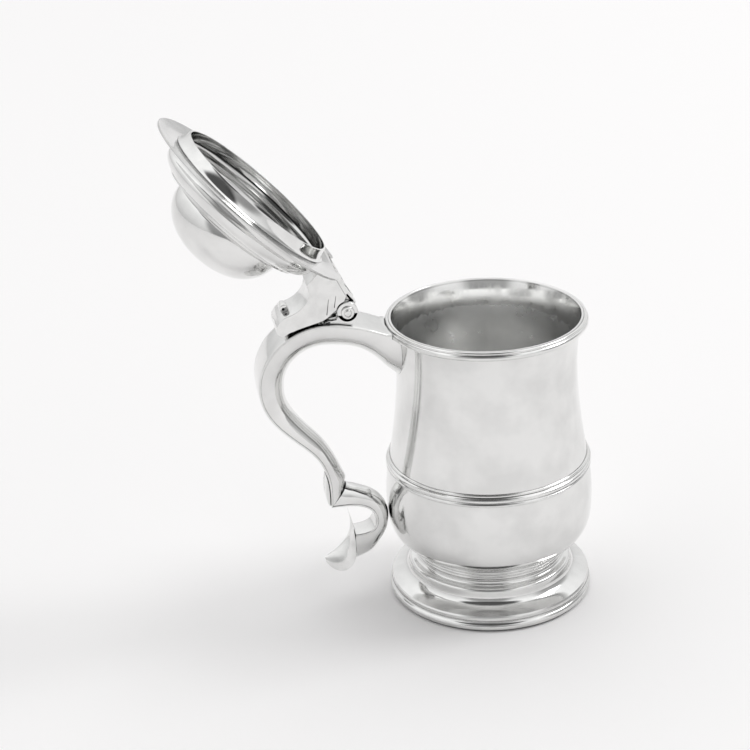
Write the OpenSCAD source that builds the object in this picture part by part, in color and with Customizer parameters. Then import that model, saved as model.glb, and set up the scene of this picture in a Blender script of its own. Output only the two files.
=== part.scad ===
// Baluster tankard with a hinged domed lid and a double-scroll handle.
// Origin: centre of the foot's resting face. +Z up, handle towards -X, hinge pin along Y.
// The lid is drawn shut and then swung open about its pin by lid_open.

/* [Body] */
// Height of the rim above the table
rim_z = 151.6; // [140:0.1:190]
// Outer radius of the mouth, under the lip moulding
mouth_r = 48.2; // [40:0.1:60]
// Outer radius at the waist
waist_r = 45.1; // [38:0.1:56]
// How far the waist lies below the rim
waist_drop = 25.6; // [16:0.1:42]
// Outer radius under the girdle moulding
girdle_r = 50.8; // [44:0.1:62]
// Height of the girdle moulding
girdle_z = 73.8; // [66:0.1:84]
// Outer radius at the widest place of the bowl
bowl_r = 52.8; // [46:0.1:64]
// Height of the widest place of the bowl
bowl_z = 54; // [50:0.5:62]
// Depth of the rounded bottom under the widest place
bowl_drop = 31; // [26:0.5:34]
// Thickness of the raised body
wall = 1.1; // [0.8:0.1:2]
// How far the lip moulding stands out from the mouth
lip_reach = 2.4; // [2:0.1:4]
// Height of the lip moulding
lip_h = 4.9; // [3.5:0.1:7]

/* [Foot] */
// Radius of the foot's edge
foot_r = 52.5; // [44:0.1:66]
// Height of the edge moulding
foot_edge_h = 6.1; // [4:0.1:8]
// Radius of the upper step of the foot
step_r = 41.9; // [37:0.1:46]
// Radius of the collar between the foot and the bowl
collar_r = 38.9; // [34:0.1:42]
// How far the underside of the collar lies below the widest place of the bowl
collar_drop = 31.7; // [30:0.1:34]
// Thickness of the foot's raised sheet
foot_t = 1.2; // [0.8:0.1:1.6]

/* [Lid] */
// How far the flange overhangs the lip moulding
flange_reach = 5.4; // [3:0.1:8]
// Thickness of the flange
flange_t = 1.15; // [0.8:0.05:2]
// How far the flange's edge drops below its root
flange_droop = 0.55; // [0:0.05:0.8]
// Gap between the rim and the shut lid
lid_gap = 0.35; // [0.3:0.05:0.6]
// How far the foot of the lower stage stands in from the mouth
stage_in = 4; // [3.9:0.1:7]
// Height of the lower stage over the flange
stage_h = 11.2; // [8:0.1:16]
// Width of the ledge from the foot of the lower stage to the dome
ledge = 14.6; // [12:0.1:20]
// Height of the dome over the lower stage
dome_h = 25; // [18:0.1:34]
// Thickness of the raised lid
lid_t = 1.1; // [0.8:0.05:1.6]
// How far the bezel's free edge stands in from the lower stage
bezel_in = 2.5; // [2.5:0.1:5]
// Depth of the bezel below the flange
bezel_h = 5.6; // [3:0.1:9]
// Thickness of the bezel
bezel_t = 1.1; // [0.8:0.05:1.6]
// How far the lid stands open, and the angle that the hinge turns through
lid_open = 135.5; // [100:0.5:140]

/* [Hinge] */
// Distance of the hinge pin from the lip moulding
hinge_out = 19.6; // [17.5:0.1:22.4]
// Height of the hinge pin above the rim
hinge_up = 12.4; // [12:0.1:14]
// Radius of the barrel
barrel_r = 5.1; // [4.2:0.1:5.5]
// How far the barrel's ends stand in from the handle's sides
barrel_in = 1.3; // [1:0.1:4]
// Radius of the pin
pin_r = 1.6; // [1.2:0.1:2.2]
// Radial clearance of the lid's barrels on the pin
pin_gap = 0.05; // [0.03:0.01:0.1]
// Gap between one knuckle and the next
knuckle_gap = 0.3; // [0.2:0.05:0.6]
// Radius of the pin's end caps
cap_r = 3.2; // [2.4:0.1:4]
// Thickness of the end caps
cap_t = 1.3; // [0.8:0.1:2]
// Thickness of the lid's hinge leaf
leaf_t = 2; // [1.4:0.1:2.4]
// Running gap of the leaf over the handle
leaf_gap = 0.45; // [0.35:0.05:0.7]

/* [Thumbpiece] */
// Width of the thumbpiece
thumb_w = 21.4; // [16:0.2:23]
// Clearance of the thumbpiece over the hinge barrel
thumb_gap = 0.6; // [0.4:0.1:1]

/* [Handle] */
// Width of the handle at the hinge
handle_w = 24.6; // [20:0.2:27]
// Width of the handle at the break
break_w = 15; // [11:0.2:18]
// Width of the lower scroll at its end
scroll_w = 13; // [10:0.2:16]
// Thickness of the flat back strap
strap_t = 1.3; // [0.9:0.1:1.8]
// Thickness of the rounded gutter
belly_t = 1; // [0.7:0.1:1.4]
// Reach of the handle beyond the lip moulding
handle_out = 65.2; // [61.4:0.2:71.4]
// How far the lower scroll stands off the widest place of the bowl
scroll_gap = 7.8; // [7:0.1:9]
// Width of the shield on the lower scroll
shield_w = 16; // [14:0.5:20]
// Thickness of the shield
shield_t = 1.3; // [0.9:0.1:1.8]

/* [Hidden] */

silver = "#d9dade";
bright = "#e6e7ea";
shade = "#bfc1c6";

solder = 0.05;         // gap between two soldered faces
round_fn = 96;         // facets of a circle where a mesh is made
eps = 0.01;
bowl_p = 3.2;          // fullness of the bowl's bottom
mouth_p = 2.4;         // how late the mouth flares
waist_p = 1.7;         // how soon the waist swells
waist_z = rim_z - waist_drop;
collar_z = bowl_z - collar_drop;
lip_r = mouth_r + lip_reach;
flange_r = lip_r + flange_reach;
stage_r = mouth_r - stage_in;
dome_r = stage_r - ledge;
bezel_r = stage_r - bezel_in;
hinge_x = lip_r + hinge_out;
hinge_z = rim_z + hinge_up;
barrel_w = handle_w - 2 * barrel_in;
lid_z = rim_z + lid_gap;              // underside of the flange where it rests
flange_top = lid_z + flange_t;
stage_top = flange_top + stage_h;
foot_top_z = foot_edge_h + solder;

// ---- curves ----
function bez(p, t) = pow(1 - t, 3) * p[0] + 3 * t * pow(1 - t, 2) * p[1]
    + 3 * t * t * (1 - t) * p[2] + pow(t, 3) * p[3];
function bez_d(p, t) = 3 * pow(1 - t, 2) * (p[1] - p[0]) + 6 * t * (1 - t) * (p[2] - p[1])
    + 3 * t * t * (p[3] - p[2]);
function curve(p, n) = [for (i = [0:n]) bez(p, i / n)];
function arc(c, r, a0, a1, n = 10) =
    [for (i = [0:n]) let (a = a0 + (a1 - a0) * i / n) c + r * [cos(a), sin(a)]];
function smooth(t) = let (c = min(1, max(0, t))) c * c * (3 - 2 * c);
function mix(a, b, t) = a + (b - a) * t;
function unit(v) = v / norm(v);
function flip(list) = [for (i = [len(list) - 1:-1:0]) list[i]];

// ---- outline of the body: outer radius at a height ----
function body_r(z) =
    z >= waist_z ? waist_r + (mouth_r - waist_r) * pow((z - waist_z) / (rim_z - waist_z), mouth_p)
    : z >= girdle_z ? waist_r + (girdle_r - waist_r) * pow((waist_z - z) / (waist_z - girdle_z), waist_p)
    : z >= bowl_z ? bowl_r - (bowl_r - girdle_r) * pow((z - bowl_z) / (girdle_z - bowl_z), 2)
    : bowl_r * pow(1 - pow((bowl_z - z) / bowl_drop, bowl_p), 1 / bowl_p);
// underside of the bowl at a radius
function bowl_under(r) = bowl_z - bowl_drop * pow(1 - pow(r / bowl_r, bowl_p), 1 / bowl_p);
function bowl_curve(r, drop, n = 26) = [for (i = [0:n]) let (a = 90 * i / n)
    [r * pow(cos(a), 2 / bowl_p), bowl_z - drop * pow(sin(a), 2 / bowl_p)]];

module turned(points) rotate_extrude($fn = round_fn) polygon(points);

// ================= body and foot =================
module body_shell() color(silver) {
    top = rim_z - 0.15;
    side = concat([for (i = [0:8]) mix(top, rim_z - lip_h, i / 8)],
        [for (i = [1:12]) mix(rim_z - lip_h, waist_z, i / 12)],
        [for (i = [1:14]) mix(waist_z, girdle_z, i / 14)], [for (i = [1:10]) mix(girdle_z, bowl_z, i / 10)]);
    outer = [for (z = side) [body_r(z), z]];
    inner = [for (z = side) [body_r(z) - wall, z]];
    turned(concat(outer, [for (i = [1:26]) bowl_curve(bowl_r, bowl_drop)[i]],
        flip(concat(inner, [for (i = [1:26]) bowl_curve(bowl_r - wall, bowl_drop - wall)[i]]))));
}

// a roll at the top, a hollow, and a bold half round below
module lip_moulding() color(bright) {
    roll = 0.85;
    bold = 1.55;
    foot = rim_z - lip_h;
    seat = [for (i = [0:8]) let (z = mix(rim_z - roll, foot, i / 8)) [body_r(z) + solder, z]];
    turned(concat(flip(seat),
        arc([body_r(rim_z - roll) + solder + roll, rim_z - roll], roll, 180, -30),
        arc([lip_r - bold, rim_z - 2.75], bold, 50, -75),
        [[body_r(foot) + 0.45, foot + 0.55], [body_r(foot) + 0.3, foot]]));
}

// a bold reed between two small ones
module girdle_moulding() color(bright) {
    small = 0.8;
    bold = 1.35;
    step = 2.35;
    reach = 0.15;
    h = step + small;
    seat = [for (i = [0:8]) let (z = girdle_z - h + 2 * h * i / 8) [body_r(z) + solder, z]];
    turned(concat(seat,
        arc([body_r(girdle_z + step) + reach, girdle_z + step], small, 88, -60),
        arc([body_r(girdle_z) + reach, girdle_z], bold, 62, -62),
        arc([body_r(girdle_z - step) + reach, girdle_z - step], small, 60, -88)));
}

module foot_collar() color(bright) {
    inner = collar_r - 2.3;
    reed = (bowl_under(collar_r - 0.6) - collar_z) / 3;
    seat = [for (i = [0:4]) let (r = mix(inner, collar_r - 0.5, i / 4)) [r, bowl_under(r) - solder]];
    turned(concat([[inner, collar_z]], seat,
        [for (k = [2:-1:0]) each arc([collar_r - 0.75, collar_z + reed * (k + 0.5)], 0.75, 52, -52, 6)],
        [[collar_r - 0.5, collar_z]]));
}

// cove under the collar, rounded step, then a long hollow down to the edge
function foot_line(o) = let (r0 = collar_r - 0.6 - o, z0 = collar_z - solder, s = step_r - o) concat(
    curve([[r0, z0], [r0 - 1.5, z0 - 1.8], [r0 - 0.8, z0 - 3.4], [r0 + 0.9, z0 - 3.9]], 8),
    arc([s - 1.6, z0 - 5.6 - o * 0.6], 1.6, 80, 0, 6),
    curve([[s, z0 - 7.6 - o * 0.6], [s + 0.2, z0 - 11.4 - o], [s + 3.5, z0 - 12.6 - o],
        [foot_r - 1.5 - o, foot_top_z + 2.3 - o * 0.7]], 12),
    [[foot_r - 1 - o, foot_top_z + 1.5 - o * 0.5], [foot_r - 1 - o, foot_top_z]]);
module foot_dome() color(silver) turned(concat(foot_line(0), flip(foot_line(foot_t))));

module foot_edge_moulding() color(bright) {
    bead = 2.3;
    inner = foot_r - 3.7;
    turned(concat([[inner, foot_edge_h], [inner, 0], [foot_r - bead + 0.9, 0]],
        arc([foot_r - bead, bead + 0.25], bead, -62, 58, 12),
        [[foot_r - 1.35, foot_edge_h - 1], [foot_r - 1.05, foot_edge_h - 0.45],
         [foot_r - 0.85, foot_edge_h]]));
}

// ================= handle =================
// Outline of the handle's flat back, seen from the side, as curves that run from the rim to the break
root_x = lip_r + 0.8;
bend_x = lip_r + 30.9;
scroll_x = bowl_r + scroll_gap;
break_top = [-scroll_x - 22.4, bowl_z + 3.2];
// a height between the break and the rim, as the share of the way up
function up(share) = break_top[1] + share * (rim_z - break_top[1]) / 94.4;
break_dir = unit([8.6, 9.8]);          // direction of the mitre at the break
upper = [
    [[-root_x, rim_z - 0.6], [-root_x - 5.6, rim_z + 1.8], [-root_x - 16.6, rim_z + 6.6], [-bend_x, rim_z + 7.5]],
    [[-bend_x, rim_z + 7.5], [-bend_x - 19, rim_z + 7.5], [-lip_r - handle_out, up(86.8)],
        [-lip_r - handle_out, up(70.3)]],
    [[-lip_r - handle_out, up(70.3)], [-lip_r - handle_out, up(52.8)], [-scroll_x - 41.9, up(43.3)],
        [-scroll_x - 32, up(33)]],
    [[-scroll_x - 32, up(33)], [-scroll_x - 24.4, up(25)], [-scroll_x - 21.6, up(14.8)], break_top]];
lower = [
    [break_top + [0.05, -0.06], [-scroll_x - 13.4, bowl_z + 3.1], [-scroll_x - 1.8, bowl_z + 3.2],
        [-scroll_x, bowl_z - 5.5]],
    [[-scroll_x, bowl_z - 5.5], [-scroll_x + 1.4, bowl_z - 11.6], [-scroll_x - 2.9, bowl_z - 14.1],
        [-scroll_x - 10.4, bowl_z - 14]]];
// depth of the hollow section under the flat back, at equal steps along each scroll
upper_depth = [20.5, 14.6, 14.1, 14, 13.7, 10.6, 8.2, 8.1, 12.6];
lower_depth = [13.6, 12.8, 11, 8.5, 7.55, 7.4, 9.2, 13.6, 16.3];

// value between equally spaced design values
function along(v, t) = let (u = min(t, 1) * (len(v) - 1), i = min(floor(u), len(v) - 2))
    mix(v[i], v[i + 1], smooth(u - i) * 0.5 + (u - i) * 0.5);
function side_normal(p, t) = let (d = unit(bez_d(p, t))) [-d[1], d[0]];
// point and inward direction at s, from 0 to the number of curves
function at(path, s) = let (i = min(floor(s), len(path) - 1)) bez(path[i], s - i);
function raw_normal(path, s) = let (i = min(floor(s), len(path) - 1)) side_normal(path[i], s - i);
function upper_n(s) = s < 1 ? [0, -1]
    : unit(mix(raw_normal(upper, s), break_dir, smooth((s - 3.5) / 0.5)));
function lower_n(s) = unit(mix(break_dir, raw_normal(lower, s), smooth(s / 0.75)));
function upper_w(s) = s < 1 ? handle_w : mix(handle_w, break_w, smooth((s - 1) / 3));
function lower_w(s) = mix(break_w, scroll_w, s / 2);

root_depth = 26.4;      // depth of the section where it is soldered to the body
// cross-sections: rows of points across the handle, [inner or outer][point]
// two of the points straddle the lower edge of the lip moulding, which the root is fitted round
belly_p = 0.9;         // roundness of the upper gutter
lower_p = 0.6;         // the lower gutter is squarer
function wall_angle(depth) = asin(pow(depth / (root_depth - strap_t - solder), 1 / belly_p));
lip_seat = lip_h - 1 - strap_t - solder;
belly_half = [0, wall_angle(lip_seat) / 2, wall_angle(lip_seat), wall_angle(lip_seat + 0.95), 14, 26, 40, 56, 73];
belly_a = concat(belly_half, [90], [for (a = flip(belly_half)) 180 - a]);
function belly_row(p, n, w, d, o, k) = [for (a = belly_a)
    let (q = p + n * (strap_t + solder + (d - strap_t - solder - o) * pow(sin(a), k)))
    [q[0], -(w / 2 - 0.4 - o) * cos(a), q[1]]];
function belly_station(p, n, w, d, k = belly_p) = [belly_row(p, n, w, d, 0, k), belly_row(p, n, w, d, belly_t, k)];
function strap_station(p, n, w) = [
    for (h = [0, strap_t]) [for (i = [0:4]) let (v = i / 2 - 1, q = p + n * (h + 0.35 * v * v * (1 - h / strap_t)))
        [q[0], v * w / 2, q[1]]]];
// the first section is shaped to the body and the lip, which it is soldered to
function meet(rows, gap) = [for (row = rows) [for (q = row)
    let (r = (q[2] > rim_z - lip_h - 0.15 ? lip_r : body_r(q[2])) + gap) [-sqrt(r * r - q[1] * q[1]), q[1], q[2]]]];

// a thin solid through stations of two rows each
module ribbon(st, turn = false) {
    n = len(st);
    m = len(st[0][0]);
    pts = [for (s = st) each concat(s[0], s[1])];
    function id(i, row, j) = i * 2 * m + row * m + j;
    quads = concat(
        [for (i = [0:n - 2], j = [0:m - 2]) [id(i, 0, j), id(i, 0, j + 1), id(i + 1, 0, j + 1), id(i + 1, 0, j)]],
        [for (i = [0:n - 2], j = [0:m - 2]) [id(i, 1, j), id(i + 1, 1, j), id(i + 1, 1, j + 1), id(i, 1, j + 1)]],
        [for (i = [0:n - 2]) [id(i, 0, 0), id(i + 1, 0, 0), id(i + 1, 1, 0), id(i, 1, 0)]],
        [for (i = [0:n - 2]) [id(i, 0, m - 1), id(i, 1, m - 1), id(i + 1, 1, m - 1), id(i + 1, 0, m - 1)]],
        [for (j = [0:m - 2]) [id(0, 0, j), id(0, 1, j), id(0, 1, j + 1), id(0, 0, j + 1)]],
        [for (j = [0:m - 2]) [id(n - 1, 0, j), id(n - 1, 0, j + 1), id(n - 1, 1, j + 1), id(n - 1, 1, j)]]);
    tris = [for (q = quads) each [[q[0], q[1], q[2]], [q[0], q[2], q[3]]]];
    polyhedron(points = pts, faces = turn ? [for (f = tris) flip(f)] : tris, convexity = 8);
}

upper_steps = [for (i = [0:44]) 4 * i / 44];
lower_steps = [for (i = [0:26]) 2 * i / 26];

module handle_upper_belly() color(silver) {
    root = belly_station([-root_x, rim_z - 0.6], [0, -1], handle_w, root_depth);
    ribbon(concat([meet(root, solder)],
        [for (s = upper_steps) belly_station(at(upper, s), upper_n(s), upper_w(s), along(upper_depth, s / 4))]));
}
module handle_upper_strap() color(bright) {
    root = strap_station([-root_x, rim_z - 0.6], [0, -1], handle_w);
    ribbon(concat([meet(root, solder)],
        [for (s = upper_steps) strap_station(at(upper, s), upper_n(s), upper_w(s))]), true);
}
// the gutter runs on under the shield, further at its lowest
run_on_rate = 0.012;
function run_on(rows) = [for (row = rows) [for (q = row)
    [-scroll_x - 10.5 - run_on_rate * pow(bowl_z - 14 - q[2], 2), q[1], q[2]]]];
module handle_lower_belly() color(silver) {
    st = [for (s = lower_steps)
        belly_station(at(lower, s), lower_n(s), lower_w(s), along(lower_depth, s / 2), lower_p)];
    ribbon(concat(st, [run_on(st[len(st) - 1])]));
}
module handle_lower_strap() color(bright)
    ribbon([for (s = lower_steps) strap_station(at(lower, s), lower_n(s), lower_w(s))], true);

// a pointed fin that stands off the back at the break
module handle_spur() color(bright) {
    w = break_w * 0.7;
    back = [for (i = [0:6]) at(upper, 3.62 + 0.36 * i / 6) - [solder, 0]];
    edge = curve([back[6] + [-0.2, -0.9], back[6] + [-2.3, 1.5], back[3] + [-2.2, 0.6], back[0] + [-0.3, 0.2]], 8);
    rotate([90, 0, 0]) linear_extrude(w, center = true) polygon(concat(back, edge));
}

// shield on the open end of the lower scroll: two pointed ears, a crest and a beaked tip
// its points are set from the scroll's furthest place
shield_tip = [-27.4, 0, -28.5];
function crest(u) = bez([[-10.4, 0, -12.4], [-13, 0, -17.4], [-18.9, 0, -25.8], shield_tip], u);
function shield_edge(u) = let (h = shield_w / 2) u < 0.5
    ? bez([[-12.6, -h * 0.75, -4.5], [-11, -h * 0.9, -12], [-10.6, -h, -20], [-11.3, -h, -26]], u * 2)
    : bez([[-11.3, -h, -26], [-12, -h, -33.8], [-21.4, -h * 0.85, -39.2], shield_tip], u * 2 - 1);
shield_n = 8;
function shield_row(u, o) = let (c = crest(u), e = shield_edge(u)) [for (i = [-shield_n:shield_n])
    let (v = i / shield_n, b = v * v, p = c + [(e[0] - c[0]) * b, e[1] * -v, (e[2] - c[2]) * b],
        inward = unit([-9.4, 0, -24] - [p[0], p[1] * 0.4, p[2]])) p + inward * o];
module handle_shield() color(bright) translate([-scroll_x, 0, bowl_z])
    ribbon([for (i = [0:16]) let (u = 0.96 * i / 16) [shield_row(u, 0), shield_row(u, shield_t)]], true);

// ================= hinge =================
H = [-hinge_x, hinge_z];
pitch = barrel_w / 5;
module across(w) rotate([90, 0, 0]) linear_extrude(w, center = true) children();
module slot_y(k, grow = 0) translate([0, (k - 2) * pitch, 0]) across(pitch - knuckle_gap + 2 * grow) children();
module at_pin() translate([-hinge_x, 0, hinge_z]) children();
module rod(r, w) rotate([90, 0, 0]) cylinder(r = r, h = w, center = true, $fn = round_fn);

// wedge on the handle's back with three of the five knuckles
plate_steps = [for (i = [0:10]) 0.66 + 0.34 * i / 10];
module handle_hinge_plate() color(silver) difference() {
    union() {
        for (k = [0, 2, 4]) translate([-hinge_x, (k - 2) * pitch, hinge_z]) rod(barrel_r, pitch - knuckle_gap);
        for (k = [0, 2, 4]) slot_y(k) polygon(concat(
            [for (s = plate_steps) at(upper, s) + [0, solder]], [[-bend_x, rim_z + 8.3]],
            [[-hinge_x - 5.6, rim_z + 9.1], H + [-barrel_r + 0.2, -1]],
            curve([H + [barrel_r, 0], H + [barrel_r, -3.2], H + [barrel_r - 1.4, -5.6],
                at(upper, plate_steps[0]) + [0, solder]], 8)));
        intersection() {
            across(barrel_w - knuckle_gap) polygon(concat(
                [for (s = plate_steps) at(upper, s) + [0, solder]],
                [[-bend_x, rim_z + 8.3], [-hinge_x - 5.6, rim_z + 9.1], H + [0, -1]]));
            translate([-hinge_x - 30, -20, rim_z]) cube([30 - barrel_r - leaf_t - 0.9, 40, 30]);
        }
    }
    at_pin() rod(pin_r + 0.02, barrel_w + 2);
}
module hinge_pin() color(shade) at_pin() rod(pin_r, barrel_w);
module pin_cap(side) color(bright) at_pin() translate([0, side * (barrel_w / 2 + solder), 0])
    rotate([side * -90, 0, 0]) rotate_extrude($fn = round_fn)
        polygon(concat([[0, 0], [cap_r, 0]], arc([cap_r - 0.45, 0.45], 0.45, 0, 90, 5),
            [[cap_r * 0.62, 0.75]], curve([[cap_r * 0.58, 0.7], [cap_r * 0.5, cap_t * 0.95],
            [cap_r * 0.3, cap_t], [0, cap_t]], 8)));
module pin_cap_near() pin_cap(-1);
module pin_cap_far() pin_cap(1);

// ================= lid, drawn shut =================
module swung_open() translate([-hinge_x, 0, hinge_z]) rotate([0, -lid_open, 0])
    translate([hinge_x, 0, -hinge_z]) children();

// outline from the flange's edge over the two stages to the crown, o inside the outer face
function upper_lid_line(o) = concat(
    curve([[stage_r - 0.35 - o, flange_top + stage_h * 0.5], [stage_r - 0.7 - o, flange_top + stage_h * 0.72],
        [stage_r - 3.6 - o * 0.8, stage_top - 0.5 - o * 0.7], [stage_r - 6.6 - o * 0.7, stage_top - 0.3 - o]], 10),
    [[stage_r - 6.9 - o, stage_top + 0.8 - o]],
    curve([[stage_r - 7.6 - o * 0.5, stage_top + 0.9 - o], [dome_r + 4.5 - o, stage_top + 1.5 - o],
        [dome_r + 1 - o, stage_top + 1.6 - o], [dome_r - 0.4 - o, stage_top + 3.4 - o]], 8),
    curve([[dome_r - 0.3 - o, stage_top + 3.8], [dome_r + 0.4 - o, stage_top + dome_h * 0.45],
        [dome_r * 0.78 - o, stage_top + dome_h - o], [0, stage_top + dome_h - o]], 22));
function lid_line() = concat(
    curve([[stage_r + 3, flange_top], [stage_r + 0.5, flange_top + 0.2], [stage_r - 2.4, flange_top + 1],
        [stage_r - 0.3, flange_top + stage_h * 0.45]], 8), upper_lid_line(0));
notch_w = handle_w + 1.2;             // the flange is cut away over the handle's back
module lid_cover() color(silver) swung_open() difference() {
    turned(concat([[flange_r - 0.35, flange_top - flange_droop], [flange_r, flange_top - flange_droop - 0.4],
        [flange_r, lid_z - flange_droop + 0.3], [flange_r - 0.3, lid_z - flange_droop],
        [lip_r + 0.4, lid_z]], curve([[stage_r - 0.6, lid_z], [stage_r - 1.6, lid_z + 0.6],
        [stage_r - 2.4 - lid_t, flange_top + 1], [stage_r - 0.3 - lid_t, flange_top + stage_h * 0.45]], 8),
        upper_lid_line(lid_t), flip(lid_line())));
    translate([-flange_r - 5, -notch_w / 2, lid_z - 5]) cube([flange_r + 5 - root_x + 0.2, notch_w, 5.4 + flange_t]);
}

module lid_bezel() color(bright) swung_open() {
    top = lid_z - solder;
    bottom = lid_z - bezel_h;
    turned(concat(curve([[bezel_r + 2.4, top], [bezel_r + 1.3, top - 0.3], [bezel_r + 0.6, top - 2],
        [bezel_r, bottom + 0.4]], 8),
        [[bezel_r - 0.35, bottom], [bezel_r - bezel_t + 0.2, bottom], [bezel_r - bezel_t, bottom + 0.3],
         [bezel_r + 0.9 - bezel_t, top]]));
}

// leaf that follows the handle's back, with two of the five knuckles
leaf_steps = [for (i = [0:14]) 0.02 + 0.72 * i / 14];
function leaf_line(lift) = [for (s = leaf_steps) at(upper, s) + [0, lift]];
module leaf_outline(reach) polygon(concat(
    [[-root_x + 3.6, flange_top + solder]], [[-root_x - 0.3, flange_top + solder]],
    [for (q = leaf_line(leaf_gap)) if (q[0] < -root_x - 0.6 && q[0] > -hinge_x + reach) q],
    flip([for (q = leaf_line(leaf_gap + leaf_t)) if (q[0] < -root_x - 0.6 && q[0] > -hinge_x + reach) q]),
    [[-root_x + 3.6, flange_top + 1.6]]));
module lid_hinge_leaf() color(silver) swung_open() difference() {
    union() {
        across(barrel_w - knuckle_gap) leaf_outline(barrel_r + 1);
        for (k = [1, 3]) {
            translate([-hinge_x, (k - 2) * pitch, hinge_z]) rod(barrel_r, pitch - knuckle_gap);
            slot_y(k) leaf_outline(-2.4);
            slot_y(k) polygon([H, H + [0, -barrel_r - 0.4], H + [barrel_r + 0.4, -barrel_r - 1.2],
                H + [barrel_r + 0.4, -barrel_r - 0.1], H + [barrel_r - 0.7, -barrel_r / 2]]);
        }
    }
    at_pin() rod(pin_r + pin_gap, barrel_w + 2);
}

// Side view of the thumbpiece about the pin: x towards the body, y up
thumb_front = [[24.4, 2.4], [20.2, 3.4], [18, 8], [18.9, 14]];
thumb_nose = [[18.9, 14], [19.6, 18.2], [22.2, 20], [22.2, 24]];
thumb_crown = [[22.2, 24], [22.2, 27.8], [19.8, 30.4], [16.8, 29.6]];
thumb_back = [[16.8, 29.6], [14.8, 29], [15.8, 26.4], [13.9, 24]];
thumb_heel = [[13.9, 24], [11.4, 18.4], [6.2, 12.2], [5.7, 8.4]];
module thumbpiece() color(bright) swung_open() {
    clear = barrel_r + thumb_gap;
    seat = [for (s = leaf_steps) let (q = at(upper, s) + [0, leaf_gap + leaf_t + solder] - H)
        if (q[0] > clear && q[0] < 18) q];
    top_gap = flange_top + 1.65 - hinge_z;
    across(thumb_w) translate(H) polygon(concat(
        [[24.4, flange_top + 0.4 - hinge_z], [23, flange_top + solder - hinge_z],
         [22.6, flange_top + solder - hinge_z], [22.6, top_gap]],
        seat, [[clear + 0.2, -5.4]],
        arc([0, 0], clear, -30, 28, 8),
        flip(curve(thumb_heel, 8)), flip(curve(thumb_back, 8)), flip(curve(thumb_crown, 8)),
        flip(curve(thumb_nose, 8)), flip(curve(thumb_front, 8))));
}

body_shell();
lip_moulding();
girdle_moulding();
foot_collar();
foot_dome();
foot_edge_moulding();
handle_upper_belly();
handle_upper_strap();
handle_lower_belly();
handle_lower_strap();
handle_spur();
handle_shield();
handle_hinge_plate();
hinge_pin();
pin_cap_near();
pin_cap_far();
lid_cover();
lid_bezel();
lid_hinge_leaf();
thumbpiece();
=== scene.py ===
"""Lidded silver tankard: its raised, turned and cast pieces, their finishes, and a plain studio."""
import math

import bmesh
import bpy
import numpy as np
from mathutils import Matrix, Vector


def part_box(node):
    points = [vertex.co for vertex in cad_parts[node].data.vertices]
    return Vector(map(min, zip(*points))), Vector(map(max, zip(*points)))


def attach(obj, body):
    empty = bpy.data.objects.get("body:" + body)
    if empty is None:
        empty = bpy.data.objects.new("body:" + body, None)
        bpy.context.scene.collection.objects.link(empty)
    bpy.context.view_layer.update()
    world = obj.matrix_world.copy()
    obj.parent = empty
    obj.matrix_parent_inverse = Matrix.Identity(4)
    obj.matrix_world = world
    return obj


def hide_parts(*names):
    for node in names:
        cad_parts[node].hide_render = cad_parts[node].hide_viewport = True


bl_info = {
    "name": "Lidded Tankard",
    "version": (1, 0, 0),
    "blender": (4, 5, 0),
    "location": "3D View > Sidebar > Tankard",
    "description": "Builds a baluster tankard with a hinged lid piece by piece",
    "category": "Add Mesh",
}

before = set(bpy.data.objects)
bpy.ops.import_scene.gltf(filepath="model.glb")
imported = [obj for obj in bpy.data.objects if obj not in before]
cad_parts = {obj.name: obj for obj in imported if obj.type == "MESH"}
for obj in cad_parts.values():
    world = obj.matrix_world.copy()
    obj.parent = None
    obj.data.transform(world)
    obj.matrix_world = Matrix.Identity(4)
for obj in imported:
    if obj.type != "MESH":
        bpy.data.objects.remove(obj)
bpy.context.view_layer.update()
MM = 0.001


def linear(code):
    """An sRGB hex colour as linear RGB."""
    parts = [int(code[i:i + 2], 16) / 255 for i in (0, 2, 4)]
    return tuple(c / 12.92 if c <= 0.04045 else ((c + 0.055) / 1.055) ** 2.4 for c in parts)


def add(tree, kind, plugs=None, **settings):
    """Adds a node; plugs holds a value or a link for each input."""
    node = tree.nodes.new(kind)
    for name, value in settings.items():
        setattr(node, name, value)
    for name, value in (plugs or {}).items():
        if isinstance(value, bpy.types.NodeSocket):
            tree.links.new(value, node.inputs[name])
        else:
            node.inputs[name].default_value = value
    return node


def calc(tree, operation, *values):
    """The result of a Math node."""
    return add(tree, "ShaderNodeMath", dict(enumerate(values)), operation=operation).outputs[0]


# ---------------------------------------------------------------- settings
class TankardSizes(bpy.types.PropertyGroup):
    """Sizes of the body and how finely the pieces are turned."""
    mouth_radius: bpy.props.FloatProperty(
        name="Mouth radius", description="Outer radius of the mouth under the lip moulding",
        default=48.2 * MM, unit="LENGTH")
    waist_radius: bpy.props.FloatProperty(
        name="Waist radius", description="Outer radius at the waist", default=45.1 * MM, unit="LENGTH")
    waist_height: bpy.props.FloatProperty(
        name="Waist height", description="Height of the waist", default=126 * MM, unit="LENGTH")
    wall: bpy.props.FloatProperty(
        name="Wall", description="Thickness of the raised body", default=1.1 * MM, unit="LENGTH")
    rim_height: bpy.props.FloatProperty(
        name="Rim height", description="Height of the rim",
        default=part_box("lip_moulding")[1][2], unit="LENGTH")
    lid_open: bpy.props.FloatProperty(
        name="Lid opening", description="Angle the lid stands open",
        default=math.radians(135.5), subtype="ANGLE")
    segments: bpy.props.IntProperty(
        name="Segments", description="Steps round a turned piece", default=240, min=48, max=512)


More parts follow.
